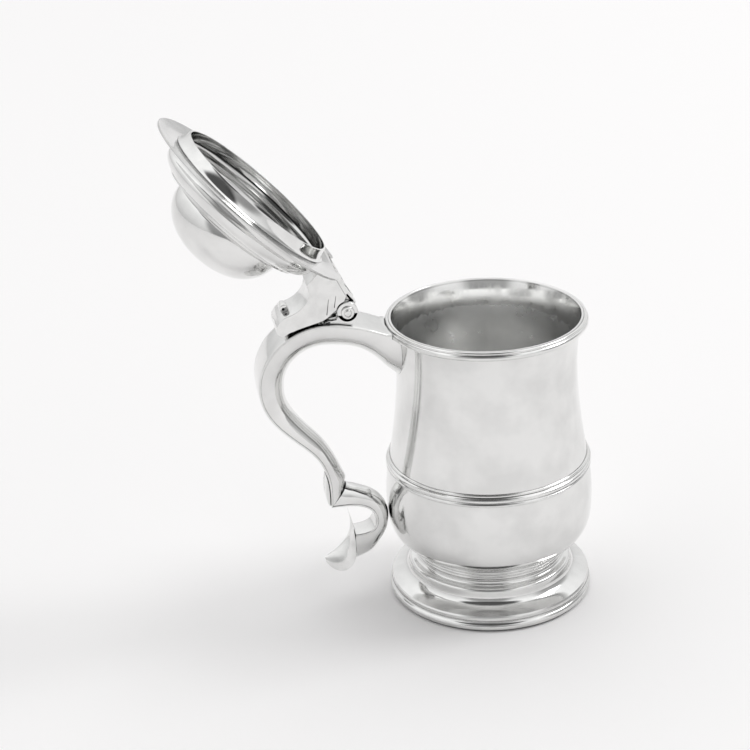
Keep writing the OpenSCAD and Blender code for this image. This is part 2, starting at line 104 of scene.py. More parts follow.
class TankardFinish(bpy.types.PropertyGroup):
    """Colours and polish of the silver, with the colours of its painted crease and groove shade."""
    bright: bpy.props.FloatVectorProperty(
        name="Bright silver", description="Colour of the polished silver", subtype="COLOR",
        default=linear("e6e6e5"), min=0, max=1)
    # painted shade: the grey that the silver is darkened towards in its creases, where ambient occlusion finds
    # a hollow
    worn: bpy.props.FloatVectorProperty(
        name="Worn silver", description="Colour of silver left dull in the creases", subtype="COLOR",
        default=linear("55555a"), min=0, max=1)
    # painted shade: the near black that the mouldings' grooves are darkened towards, also the colour of the cut
    # lines and the volute's eye
    tarnish: bpy.props.FloatVectorProperty(
        name="Tarnish", description="Colour of the tarnish down the grooves", subtype="COLOR",
        default=linear("242427"), min=0, max=1)
    inside: bpy.props.FloatVectorProperty(
        name="Inside silver", description="Colour of the unpolished inside", subtype="COLOR",
        default=linear("fbfbfa"), min=0, max=1)
    polish: bpy.props.FloatProperty(
        name="Polish", description="Roughness of the polished outside", default=0.09, min=0, max=1)
    ripple: bpy.props.FloatProperty(
        name="Ripple", description="Depth of the waviness that the hammer left",
        default=0.045 * MM, unit="LENGTH", precision=6)
    floor: bpy.props.FloatVectorProperty(
        name="Floor", description="Colour of the floor", subtype="COLOR",
        default=linear("fbfafa"), min=0, max=1)


# ---------------------------------------------------------------- finishes
FILM = 0.11  # how much a thin film of tarnish darkens the silver at its thickest


def silver(name, colour, worn, roughness, wave_mm, depth, smear_mm, smear, crease_mm=2.0, crease=0.75,
           crease_from=0.35, crease_to=0.85, band=None):
    """Silver with ripples wave_mm apart, smears in its polish smear_mm across, and painted shade in its
    creases, crease_mm deep, where ambient occlusion finds a hollow. A band, as its height and colour, is
    burnished from that height up."""
    material = bpy.data.materials.get(name)
    if material:
        return material
    material = bpy.data.materials.new(name)
    material.use_nodes = True
    tree = material.node_tree
    tree.nodes.clear()
    place = add(tree, "ShaderNodeTexCoord").outputs["Object"]
    # broad ripples: the swells between the marks of a planishing hammer
    ripple = add(tree, "ShaderNodeTexNoise", {
        "Vector": place, "Scale": 1 / (wave_mm * MM), "Detail": 2.0, "Roughness": 0.45})
    bump = add(tree, "ShaderNodeBump", {
        "Strength": 1.0, "Distance": depth, "Height": ripple.outputs["Fac"]})
    # smears: where a cloth and fingers have left the polish unequal
    smears = add(tree, "ShaderNodeTexNoise", {
        "Vector": place, "Scale": 1 / (smear_mm * MM), "Detail": 4.0, "Roughness": 0.6})
    rough = add(tree, "ShaderNodeMapRange", {
        "Value": smears.outputs["Fac"], "From Min": 0.35, "From Max": 0.7,
        "To Min": roughness, "To Max": roughness + smear}).outputs["Result"]
    # tone: a thin uneven film of tarnish, broader than the smears
    film = add(tree, "ShaderNodeTexNoise", {
        "Vector": place, "Scale": 1 / (smear_mm * 2.2 * MM), "Detail": 3.0, "Roughness": 0.55})
    part = add(tree, "ShaderNodeMapRange", {"Value": film.outputs["Fac"], "From Min": 0.4, "From Max": 0.65})
    dulled = tuple(c * (1 - FILM) for c in colour)
    face = add(tree, "ShaderNodeMix", {
        "Factor": part.outputs["Result"], "A": (*colour, 1), "B": (*dulled, 1)}, data_type="RGBA").outputs[2]
    if band:
        # the band that a burnisher has gone over in upright strokes, with a ragged lower edge
        low, shine = band
        height = add(tree, "ShaderNodeSeparateXYZ", {0: place}).outputs["Z"]
        strokes = add(tree, "ShaderNodeMapping", {"Vector": place, "Scale": (1, 1, 0.06)}).outputs[0]
        strokes = add(tree, "ShaderNodeTexNoise", {
            "Vector": strokes, "Scale": 1 / (4 * MM), "Detail": 3.0, "Roughness": 0.6}).outputs["Fac"]
        edge = calc(tree, "MULTIPLY_ADD", strokes, 7 * MM, height)
        share = add(tree, "ShaderNodeMapRange", {
            "Value": edge, "From Min": low + 3 * MM, "From Max": low + 4.5 * MM}).outputs["Result"]
        lit = add(tree, "ShaderNodeMapRange", {
            "Value": strokes, "From Min": 0.35, "From Max": 0.65,
            "To Min": 0.05, "To Max": 0.2}).outputs["Result"]
        rough = add(tree, "ShaderNodeMix", {0: share, 2: rough, 3: lit}).outputs[0]
        face = add(tree, "ShaderNodeMix", {0: share, 6: face, 7: (*shine, 1)}, data_type="RGBA").outputs[2]
    # creases: painted shade, the colour darkened towards the crease colour where ambient occlusion finds a
    # hollow
    hollow = add(tree, "ShaderNodeAmbientOcclusion", {"Distance": crease_mm * MM}, samples=8)
    share = add(tree, "ShaderNodeMapRange", {
        "Value": hollow.outputs["AO"], "From Min": crease_from, "From Max": crease_to,
        "To Min": crease, "To Max": 0.0})
    shade = add(tree, "ShaderNodeMix", {
        "Factor": share.outputs["Result"], "A": face, "B": (*worn, 1)}, data_type="RGBA")
    shader = add(tree, "ShaderNodeBsdfPrincipled", {
        "Metallic": 1.0, "Roughness": rough, "Normal": bump.outputs["Normal"]})
    tree.links.new(shade.outputs[2], shader.inputs["Base Color"])
    out = add(tree, "ShaderNodeOutputMaterial")
    tree.links.new(shader.outputs["BSDF"], out.inputs["Surface"])
    return material


def finishes(context):
    """The silver of each kind of piece."""
    f = context.scene.tankard_finish
    bright, worn, inside, black = tuple(f.bright), tuple(f.worn), tuple(f.inside), tuple(f.tarnish)
    rim = context.scene.tankard_sizes.rim_height
    return {
        # raised from sheet by hammering, then planished and polished: slow swells in its reflections
        "raised": silver("raised_sterling_silver", bright, worn, f.polish, wave_mm=26, depth=f.ripple,
                         smear_mm=9, smear=0.05, crease_mm=1.2, crease=0.6),
        # drawn or turned, then polished: crisp, with painted shade, near black, down the grooves
        "moulding": silver("turned_sterling_silver", bright, black, f.polish, wave_mm=14, depth=f.ripple * 0.1,
                           smear_mm=6, smear=0.05, crease_mm=1.5, crease=1.0, crease_from=0.25, crease_to=0.8),
        # cast, filed and polished: softer, with a faint skin from the mould
        "cast": silver("cast_sterling_silver", bright, worn, f.polish + 0.02, wave_mm=5, depth=f.ripple * 0.2,
                       smear_mm=3, smear=0.06, crease_mm=1.0, crease=0.8, crease_from=0.25, crease_to=0.75),
        # inside of the body: annealed, pickled and only brushed, so it stays satin, but burnished under the rim
        "inside": silver("brushed_sterling_silver", inside, worn, 0.26, wave_mm=20, depth=f.ripple * 0.5,
                         smear_mm=12, smear=0.12, band=(rim - 13 * MM, inside)),
        # inside of the lid: polished over the marks of the stakes it was raised on, its colour the bright
        # silver darkened by a fifth as painted shade
        "lining": silver("planished_sterling_silver", tuple(c * 0.8 for c in bright), worn, 0.07,
                         wave_mm=12, depth=f.ripple * 0.9, smear_mm=7, smear=0.08),
        # a graver's cut or a drilled eye, painted black: painted shade for the groove of the cut and the hollow
        # of the eye
        "cut": silver("graver_cut_silver", black, black, 0.4, wave_mm=3, depth=f.ripple * 0.1,
                      smear_mm=2, smear=0.1),
        # drawn hard wire, dulled by wear
        "wire": silver("drawn_silver_wire", inside, worn, 0.18, wave_mm=3, depth=f.ripple * 0.1,
                       smear_mm=2, smear=0.08, crease_mm=0.8, crease=0.8),
    }


# ---------------------------------------------------------------- shapes
def curve(points, n):
    """Points on a cubic curve, given by its four control points."""
    p = np.array(points, float)
    t = np.linspace(0, 1, n + 1)[:, None]
    return (1 - t) ** 3 * p[0] + 3 * t * (1 - t) ** 2 * p[1] + 3 * t * t * (1 - t) * p[2] + t ** 3 * p[3]


def arc(centre, radius, start, end, n=16):
    """Points on an arc, in degrees."""
    a = np.radians(np.linspace(start, end, n + 1))
    return np.stack([centre[0] + radius * np.cos(a), centre[1] + radius * np.sin(a)], 1)


def join(*parts):
    """Runs of points as one outline."""
    return np.concatenate([np.array(p, float).reshape(-1, 2) for p in parts])


def smoothstep(t):
    """0 to 1, easing at both ends."""
    t = np.clip(t, 0, 1)
    return t * t * (3 - 2 * t)


def through(values, t):
    """A smooth line through equally spaced values, at t from 0 to 1."""
    v = np.array(values, float)
    v = np.concatenate([[2 * v[0] - v[1]], v, [2 * v[-1] - v[-2]]])
    u = np.clip(t, 0, 1) * (len(v) - 3)
    i = np.minimum(u.astype(int), len(v) - 4)
    f = u - i
    a, b, c, d = v[i], v[i + 1], v[i + 2], v[i + 3]
    return b + 0.5 * f * (c - a + f * (2 * a - 5 * b + 4 * c - d + f * (3 * (b - c) + d - a)))


class Shape:
    """The tankard's own sizes in mm, and the outlines that several pieces share."""
    girdle_r, girdle_z, bowl_r, bowl_z, bowl_drop = 50.8, 73.8, 52.8, 54.0, 31.0
    flare, taper, square = 2.4, 1.7, 3.2  # how sharply the mouth flares, the wall tapers and the bottom turns
    lip_r, lip_h = 50.6, 4.9
    foot_r, foot_edge_h, step_r, collar_r, collar_z, foot_t = 52.5, 6.1, 41.9, 38.9, 22.3, 1.2
    flange_r, flange_t, droop, lid_gap = 56.0, 1.15, 0.55, 0.35
    stage_r, stage_h, dome_r, dome_h, lid_t = 44.2, 11.2, 29.6, 25.0, 1.1
    bezel_r, bezel_h, bezel_t = 41.7, 5.6, 1.1
    hinge_x, hinge_up, barrel_r, barrel_w, pin_r, pin_gap = 70.2, 12.4, 5.1, 22.0, 1.6, 0.05
    knuckle_gap, cap_r, cap_t, leaf_t, leaf_gap = 0.3, 3.2, 1.3, 2.0, 0.45
    handle_w, break_w, scroll_w, strap_t, belly_t, solder = 24.6, 15.0, 13.0, 1.3, 1.0, 0.05

    def __init__(self, sizes):
        self.mouth_r = sizes.mouth_radius / MM
        self.waist_r = sizes.waist_radius / MM
        self.waist_z = sizes.waist_height / MM
        self.wall = sizes.wall / MM
        self.rim_z = sizes.rim_height / MM
        self.lid_open = sizes.lid_open
        self.hinge_z = self.rim_z + self.hinge_up
        self.lid_z = self.rim_z + self.lid_gap
        self.flange_top = self.lid_z + self.flange_t
        self.stage_top = self.flange_top + self.stage_h

    def body(self, z):
        """Outer radius of the body at a height."""
        z = np.asarray(z, float)
        waist, girdle = self.waist_z, self.girdle_z
        share = np.clip((z - waist) / (self.rim_z - waist), 0, 1)
        up = self.waist_r + (self.mouth_r - self.waist_r) * share ** self.flare
        share = np.clip((waist - z) / (waist - girdle), 0, 1)
        mid = self.waist_r + (self.girdle_r - self.waist_r) * share ** self.taper
        share = np.clip((z - self.bowl_z) / (girdle - self.bowl_z), 0, 1)
        low = self.bowl_r - (self.bowl_r - self.girdle_r) * share ** 2
        return np.where(z >= waist, up, np.where(z >= girdle, mid, low))

    def bowl(self, radius, drop, n=64):
        """The rounded bottom, from its widest place to the axis."""
        a = np.radians(np.linspace(0, 90, n + 1))
        power = 2 / self.square
        return np.stack([radius * np.cos(a) ** power, self.bowl_z - drop * np.sin(a) ** power], 1)

    def under(self, r):
        """Height of the bowl's underside at a radius."""
        return self.bowl_z - self.bowl_drop * (1 - (r / self.bowl_r) ** self.square) ** (1 / self.square)

    def swing(self):
        """Where the shut lid goes when it stands open."""
        pin = Vector((-self.hinge_x, 0, self.hinge_z)) * MM
        return Matrix.Translation(pin) @ Matrix.Rotation(-self.lid_open, 4, "Y") @ Matrix.Translation(-pin)


def shape(context):
    """The outlines at the sizes now set."""
    return Shape(context.scene.tankard_sizes)


# ---------------------------------------------------------------- making pieces
def finish_piece(obj, node, body, sharp=32):
    """Normals outwards, creases marked, and the piece put on its body in place of its node."""
    bm = bmesh.new()
    bm.from_mesh(obj.data)
    bmesh.ops.remove_doubles(bm, verts=bm.verts, dist=1e-7)
    bmesh.ops.recalc_face_normals(bm, faces=bm.faces)
    if bm.calc_volume(signed=True) < 0:
        bmesh.ops.reverse_faces(bm, faces=bm.faces)
    for face in bm.faces:
        face.smooth = True
    bm.to_mesh(obj.data)
    bm.free()
    obj.data.set_sharp_from_angle(angle=math.radians(sharp))
    for n in [node] if isinstance(node, str) else node:
        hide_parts(n)
    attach(obj, body)
    return obj


def new_object(name, points, faces, material, edges=()):
    """A mesh object from points in mm."""
    mesh = bpy.data.meshes.new(name)
    mesh.from_pydata([tuple(map(float, p)) for p in np.asarray(points) * MM], list(edges),
                     [list(map(int, f)) for f in faces])
    obj = bpy.data.objects.new(name, mesh)
    bpy.context.scene.collection.objects.link(obj)
    if material:
        mesh.materials.append(material)
    return obj


def bake_modifiers(obj):
    """Turns the evaluated object into its own plain mesh."""
    graph = bpy.context.evaluated_depsgraph_get()
    mesh = bpy.data.meshes.new_from_object(obj.evaluated_get(graph))
    obj.modifiers.clear()
    old = obj.data
    obj.data = mesh
    mesh.name = obj.name
    bpy.data.meshes.remove(old)
    return obj


def new_tree(name, inputs, output):
    """An empty geometry node tree with its inputs, as names and kinds, and its one output."""
    tree = bpy.data.node_groups.new(name, "GeometryNodeTree")
    for label, kind in inputs:
        tree.interface.new_socket(label, in_out="INPUT", socket_type="NodeSocket" + kind)
    tree.interface.new_socket(output, in_out="OUTPUT", socket_type="NodeSocketGeometry")
    return tree


def run_tree(obj, tree, given):
    """Runs a node tree on an object with the values given, and keeps the result as its plain mesh."""
    modifier = obj.modifiers.new(tree.name, "NODES")
    modifier.node_group = tree
    for item in tree.interface.items_tree:
        if item.item_type == "SOCKET" and item.name in given:
            modifier[item.identifier] = given[item.name]
    return bake_modifiers(obj)


def turning_tree():
    """Geometry nodes that turn an outline of points (radius, height) round the upright axis."""
    tree = bpy.data.node_groups.get("turn_outline")
    if tree:
        return tree
    tree = new_tree("turn_outline", (("Outline", "Geometry"), ("Points", "Int"), ("Segments", "Int"),
                                     ("Outside", "Material"), ("Inside", "Material")), "Turned")
    given = add(tree, "NodeGroupInput").outputs
    # a flat grid: one row for each point of the outline, one column for each step round
    last = calc(tree, "SUBTRACT", given["Points"], 1.0)
    around = calc(tree, "ADD", given["Segments"], 1.0)
    sheet = add(tree, "GeometryNodeMeshGrid", {
        "Size X": last, "Size Y": given["Segments"], "Vertices X": given["Points"], "Vertices Y": around})
    where = add(tree, "ShaderNodeSeparateXYZ", {0: add(tree, "GeometryNodeInputPosition").outputs[0]}).outputs
    step = calc(tree, "ROUND", calc(tree, "ADD", where["X"], calc(tree, "MULTIPLY", last, 0.5)))
    turn = calc(tree, "MULTIPLY", calc(tree, "DIVIDE", where["Y"], given["Segments"]), 2 * math.pi)
    # each row goes to its point's radius and height, and round by its column
    spot = add(tree, "GeometryNodeSampleIndex", data_type="FLOAT_VECTOR", domain="POINT")
    tree.links.new(given["Outline"], spot.inputs["Geometry"])
    tree.links.new(add(tree, "GeometryNodeInputPosition").outputs[0], spot.inputs["Value"])
    tree.links.new(step, spot.inputs["Index"])
    out = add(tree, "ShaderNodeSeparateXYZ", {0: spot.outputs[0]}).outputs
    x = calc(tree, "MULTIPLY", out["X"], calc(tree, "COSINE", turn))
    y = calc(tree, "MULTIPLY", out["X"], calc(tree, "SINE", turn))
    spread = add(tree, "ShaderNodeCombineXYZ", {"X": x, "Y": y, "Z": out["Z"]}).outputs[0]
    # the inside takes a finish of its own
    inner = add(tree, "GeometryNodeSampleIndex", data_type="FLOAT", domain="POINT")
    tree.links.new(given["Outline"], inner.inputs["Geometry"])
    mark = add(tree, "GeometryNodeInputNamedAttribute", {"Name": "inside"}, data_type="FLOAT")
    tree.links.new(mark.outputs["Attribute"], inner.inputs["Value"])
    tree.links.new(step, inner.inputs["Index"])
    kept = add(tree, "GeometryNodeStoreNamedAttribute", {
        "Geometry": sheet.outputs["Mesh"], "Name": "inside", "Value": inner.outputs[0]},
        data_type="FLOAT", domain="POINT")
    moved = add(tree, "GeometryNodeSetPosition", {"Geometry": kept.outputs[0], "Position": spread})
    closed = add(tree, "GeometryNodeMergeByDistance", {"Geometry": moved.outputs[0], "Distance": 1e-7})
    real = add(tree, "GeometryNodeRealizeInstances", {"Geometry": closed.outputs[0]})
    skin = add(tree, "GeometryNodeSetMaterial", {"Geometry": real.outputs[0], "Material": given["Outside"]})
    mark = add(tree, "GeometryNodeInputNamedAttribute", {"Name": "inside"}, data_type="FLOAT")
    is_in = add(tree, "FunctionNodeCompare", {"A": mark.outputs["Attribute"], "B": 0.5},
                data_type="FLOAT", operation="GREATER_THAN")
    lined = add(tree, "GeometryNodeSetMaterial", {
        "Geometry": skin.outputs[0], "Selection": is_in.outputs[0], "Material": given["Inside"]})
    add(tree, "NodeGroupOutput", {0: lined.outputs[0]})
    return tree


def turned(context, name, outline, outside, inside=None, inner_from=None):
    """A piece turned from an outline in mm. Points from inner_from on are the inside."""
    n = len(outline)
    points = [(r, 0, z) for r, z in outline]
    obj = new_object(name, points, (), None, [(i, i + 1) for i in range(n - 1)])
    mark = obj.data.attributes.new("inside", "FLOAT", "POINT")
    mark.data.foreach_set("value", [float(inner_from is not None and i >= inner_from) for i in range(n)])
    return run_tree(obj, turning_tree(), {
        "Points": n, "Segments": context.scene.tankard_sizes.segments,
        "Outside": outside, "Inside": inside or outside})


def ribbon(name, rings, material):
    """A solid through rings of points in mm, each closed on itself, with its two ends capped by strips."""
    rings = np.asarray(rings, float)
    n, m = rings.shape[:2]
    faces = []
    for i in range(n - 1):
        for j in range(m):
            k = (j + 1) % m
            faces.append((i * m + j, i * m + k, (i + 1) * m + k, (i + 1) * m + j))
    for base in (0, (n - 1) * m):
        for j in range(m // 2 - 1):
            faces.append((base + j, base + j + 1, base + m - 2 - j, base + m - 1 - j))
    return new_object(name, rings.reshape(-1, 3), faces, material)


def blend_rows(rows, steps=2.0):
    """Rounds small breaks along a row of vectors, and keeps its ends."""
    k = int(steps * 3)
    w = np.exp(-0.5 * (np.arange(-k, k + 1) / steps) ** 2)
    w /= w.sum()
    padded = np.concatenate([2 * rows[0] - rows[k:0:-1], rows, 2 * rows[-1] - rows[-2:-k - 2:-1]])
    return np.stack([np.convolve(padded[:, c], w, "valid") for c in range(rows.shape[1])], 1)


def slab(name, outline, width, material, centre=0.0, bevel=0.3, segments=3):
    """An outline (x, z) in mm made width thick across the handle, with eased edges."""
    pts = np.array(outline, float)
    area = np.sum(pts[:, 0] * np.roll(pts[:, 1], -1) - np.roll(pts[:, 0], -1) * pts[:, 1])
    if area < 0:
        pts = pts[::-1]
    n = len(pts)
    v = [(x, centre - width / 2, z) for x, z in pts] + [(x, centre + width / 2, z) for x, z in pts]
    faces = [tuple(range(n)), tuple(range(2 * n - 1, n - 1, -1))]
    faces += [(i, i + n, (i + 1) % n + n, (i + 1) % n) for i in range(n)]
    obj = new_object(name, v, faces, material)
    if bevel:
        cut = obj.modifiers.new("ease", "BEVEL")
        cut.width = bevel * MM
        cut.segments = segments
        cut.limit_method = "ANGLE"
        cut.angle_limit = math.radians(40)
        bake_modifiers(obj)
    return obj


def merge(name, parts):
    """Several objects' meshes as one object."""
    bm = bmesh.new()
    finishes_used = []
    for part in parts:
        finish = part.data.materials[0]
        if finish not in finishes_used:
            finishes_used.append(finish)
        known = len(bm.faces)
        bm.from_mesh(part.data)
        bm.faces.ensure_lookup_table()
        for face in bm.faces[known:]:
            face.material_index = finishes_used.index(finish)
    mesh = bpy.data.meshes.new(name)
    bm.to_mesh(mesh)
    bm.free()
    for finish in finishes_used:
        mesh.materials.append(finish)
    for part in parts:
        bpy.data.objects.remove(part)
    obj = bpy.data.objects.new(name, mesh)
    bpy.context.scene.collection.objects.link(obj)
    return obj


# ---------------------------------------------------------------- body and foot
class TANKARD_OT_body(bpy.types.Operator):
    """Turns the raised body, polished outside and satin inside"""
    bl_idname = "tankard.body"
    bl_label = "Body"

    def execute(self, context):
        s, f = shape(context), finishes(context)
        z = np.linspace(s.rim_z - 0.15, s.bowl_z, 120)
        outer = join(np.stack([s.body(z), z], 1), s.bowl(s.bowl_r, s.bowl_drop)[1:])
        inner = join(np.stack([s.body(z) - s.wall, z], 1),
                     s.bowl(s.bowl_r - s.wall, s.bowl_drop - s.wall)[1:])
        outline = join(outer[::-1], inner)
        obj = turned(context, "raised_body", outline, f["raised"], f["inside"], len(outer) + 1)
        finish_piece(obj, "body_shell", "tankard")
        return {"FINISHED"}


class TANKARD_OT_mouldings(bpy.types.Operator):
    """Turns the lip, the girdle, the collar and the foot's edge"""
    bl_idname = "tankard.mouldings"
    bl_label = "Mouldings"

    def execute(self, context):
        s, f = shape(context), finishes(context)
        roll, bold, foot = 0.85, 1.55, s.rim_z - s.lip_h
        z = np.linspace(s.rim_z - roll, foot, 12)
        seat = np.stack([s.body(z) + s.solder, z], 1)
        top = float(s.body(s.rim_z - roll)) + s.solder + roll
        low = float(s.body(foot))
        lip = join(seat[::-1], arc((top, s.rim_z - roll), roll, 180, -30),
                   arc((s.lip_r - bold, s.rim_z - 2.75), bold, 50, -75, 24),
                   [[low + 0.45, foot + 0.55], [low + 0.3, foot], seat[-1]])
        obj = turned(context, "lip_moulding_turned", lip, f["moulding"])
        finish_piece(obj, "lip_moulding", "tankard")

        small, bold, step, reach = 0.8, 1.35, 2.35, 0.15
        h = step + small
        z = np.linspace(s.girdle_z - h, s.girdle_z + h, 12)
        seat = np.stack([s.body(z) + s.solder, z], 1)
        girdle = join(seat, arc((float(s.body(s.girdle_z + step)) + reach, s.girdle_z + step), small, 88, -60),
                      arc((float(s.body(s.girdle_z)) + reach, s.girdle_z), bold, 62, -62, 24),
                      arc((float(s.body(s.girdle_z - step)) + reach, s.girdle_z - step), small, 60, -88),
                      [seat[0]])
        obj = turned(context, "girdle_reeds", girdle, f["moulding"])
        finish_piece(obj, "girdle_moulding", "tankard")

        inner = s.collar_r - 2.3
        reed = (s.under(s.collar_r - 0.6) - s.collar_z) / 3
        r = np.linspace(inner, s.collar_r - 0.5, 8)
        collar = join([[inner, s.collar_z]], np.stack([r, s.under(r) - s.solder], 1),
                      *[arc((s.collar_r - 0.75, s.collar_z + reed * (k + 0.5)), 0.75, 58, -58, 14)
                        for k in (2, 1, 0)],
                      [[s.collar_r - 0.5, s.collar_z], [inner, s.collar_z]])
        obj = turned(context, "collar_reeds", collar, f["moulding"])
        finish_piece(obj, "foot_collar", "tankard")

        bead, inner = 2.3, s.foot_r - 3.7
        edge = join([[inner, s.foot_edge_h], [inner, 0], [s.foot_r - bead + 0.9, 0]],
                    arc((s.foot_r - bead, bead + 0.25), bead, -62, 58, 30),
                    [[s.foot_r - 1.35, s.foot_edge_h - 1], [s.foot_r - 1.05, s.foot_edge_h - 0.45],
                     [s.foot_r - 0.85, s.foot_edge_h], [inner, s.foot_edge_h]])
        obj = turned(context, "foot_edge_wire", edge, f["moulding"])
        finish_piece(obj, "foot_edge_moulding", "tankard")
        return {"FINISHED"}


class TANKARD_OT_foot(bpy.types.Operator):
    """Turns the raised foot: a cove, a rounded step and a long hollow"""
    bl_idname = "tankard.foot"
    bl_label = "Foot"

    def execute(self, context):
        s, f = shape(context), finishes(context)
        top = s.foot_edge_h + s.solder

        def line(o):
            r, z, e = s.collar_r - 0.6 - o, s.collar_z - s.solder, s.step_r - o
            return join(curve([[r, z], [r - 1.5, z - 1.8], [r - 0.8, z - 3.4], [r + 0.9, z - 3.9]], 24),
                        arc((e - 1.6, z - 5.6 - o * 0.6), 1.6, 80, 0, 16),
                        curve([[e, z - 7.6 - o * 0.6], [e + 0.2, z - 11.4 - o], [e + 3.5, z - 12.6 - o],
                               [s.foot_r - 1.5 - o, top + 2.3 - o * 0.7]], 48),
                        [[s.foot_r - 1 - o, top + 1.5 - o * 0.5], [s.foot_r - 1 - o, top]])
        out, inn = line(0), line(s.foot_t)
        outline = join(out, inn[::-1], [out[0]])
        obj = turned(context, "raised_foot", outline, f["raised"], f["inside"], len(out) + 2)
        finish_piece(obj, "foot_dome", "tankard")
        return {"FINISHED"}


# ---------------------------------------------------------------- handle
def handle_paths(s):
    """The handle's flat back from the side, as cubic curves: rim to break, and round the lower scroll."""
    root, top, far = s.lip_r + 0.8, s.rim_z, 115.8
    tip = [-83, 57.2]
    upper = [[[-root, top - 0.6], [-57, top + 1.8], [-68, top + 6.6], [-81.5, top + 7.5]],
             [[-81.5, top + 7.5], [-100.5, top + 7.5], [-far, 144], [-far, 127.5]],
             [[-far, 127.5], [-far, 110], [-102.5, 100.5], [-92.6, 90.2]],
             [[-92.6, 90.2], [-85, 82.2], [-82.2, 72], tip]]
    lower = [[[-82.95, 57.14], [-74, 57.1], [-62.4, 57.2], [-60.6, 48.5]],
             [[-60.6, 48.5], [-59.2, 42.4], [-63.5, 39.9], [-71, 40]]]
    return upper, lower


def track(paths, per):
    """Points along joined cubic curves, and how many curves along each one lies."""
    pts = np.concatenate([curve(p, per)[(1 if i else 0):] for i, p in enumerate(paths)])
    return pts, np.linspace(0, len(paths), len(pts))


def normals(pts):
    """Directions square to a row of points."""
    d = np.gradient(pts, axis=0)
    d /= np.linalg.norm(d, axis=1)[:, None]
    return np.stack([-d[:, 1], d[:, 0]], 1)


def unit_rows(v):
    """Vectors brought to a length of 1."""
    return v / np.linalg.norm(v, axis=1)[:, None]


# which way both scrolls' sections face where they meet
BREAK = np.array([8.6, 9.8]) / math.hypot(8.6, 9.8)


def upper_track(s):
    """Points, inward directions, widths and depths along the upper scroll."""
    pts, at = track(handle_paths(s)[0], 44)
    n = normals(pts)
    n[at < 1] = (0, -1)
    share = smoothstep((at - 3.5) / 0.5)[:, None]
    n = unit_rows(blend_rows(unit_rows(n * (1 - share) + BREAK * share), 1.5))
    keep = pts.copy()
    pts = blend_rows(pts, 1.5)
    pts[0], pts[-1] = keep[0], keep[-1]
    n[0], n[-1] = (0, -1), BREAK
    width = s.handle_w + (s.break_w - s.handle_w) * smoothstep((at - 1) / 3)
    depth = through([20.5, 14.6, 14.1, 14, 13.7, 10.6, 8.2, 8.1, 12.6], at / 4)
    return pts, n, width, depth


def lower_track(s):
    """Points, inward directions, widths and depths along the lower scroll."""
    pts, at = track(handle_paths(s)[1], 44)
    n = normals(pts)
    share = smoothstep(at / 0.75)[:, None]
    n = unit_rows(BREAK * (1 - share) + n * share)
    width = s.break_w + (s.scroll_w - s.break_w) * at / 2
    depth = through([13.6, 10.5, 8.6, 8.2, 7.55, 7.4, 9.2, 13.6, 16.3], at / 2)
    return pts, n, width, depth


def belly_ring(s, p, n, w, d, power=0.9, count=40):
    """Section of the gutter; a lower power makes it squarer."""
    a = np.pi * np.arange(count + 1) / count
    a = a - 0.35 * np.sin(2 * a) / 2
    rows = []
    seat = s.strap_t + s.solder
    for o in (0, s.belly_t):
        q = p + n * (seat + (d - s.strap_t - s.solder - o) * np.sin(np.clip(a, 0, np.pi))[:, None] ** power)
        rows.append(np.stack([q[:, 0], -(w / 2 - 0.4 - o) * np.cos(a), q[:, 1]], 1))
    return np.concatenate([rows[0], rows[1][::-1]])


def strap_ring(s, p, n, w):
    """Section of the flat back, a little crowned, with rounded edges."""
    v = np.linspace(-1, 1, 17)
    half = [[w / 2 - 0.08, 0.42], [w / 2, 0.66], [w / 2, s.strap_t - 0.3], [w / 2 - 0.1, s.strap_t - 0.08],
            [w / 2 - 0.3, s.strap_t]]
    face = np.stack([v * (w / 2 - 0.3), 0.3 * v * v], 1)
    loop = np.array(list(face) + half + [[-y, h] for y, h in half[::-1]])
    q = p + n * loop[:, 1:2]
    return np.stack([q[:, 0], loop[:, 0], q[:, 1]], 1)


def meet_body(s, ring, gap):
    """Moves a ring's points back to the lip and the body that they are soldered to."""
    out = ring.copy()
    r = np.where(out[:, 2] > s.rim_z - s.lip_h - 0.15, s.lip_r, s.body(out[:, 2])) + gap
    out[:, 0] = -np.sqrt(r * r - out[:, 1] ** 2)
    return out


class TANKARD_OT_upper_scroll(bpy.types.Operator):
    """Sweeps the upper scroll's gutter and its flat back"""
    bl_idname = "tankard.upper_scroll"
    bl_label = "Upper scroll"

    def execute(self, context):
        s, f = shape(context), finishes(context)
        pts, n, width, depth = upper_track(s)
        root = meet_body(s, belly_ring(s, pts[0], n[0], s.handle_w, 26.4), s.solder)
        rings = [root] + [belly_ring(s, *row) for row in zip(pts, n, width, depth)]
        obj = ribbon("upper_gutter", rings, f["raised"])
        finish_piece(obj, "handle_upper_belly", "tankard", 50)
        root = meet_body(s, strap_ring(s, pts[0], n[0], s.handle_w), s.solder)
        rings = [root] + [strap_ring(s, p, q, w) for p, q, w in zip(pts, n, width)]
        obj = ribbon("upper_back", rings, f["raised"])
        finish_piece(obj, "handle_upper_strap", "tankard", 50)
        return {"FINISHED"}


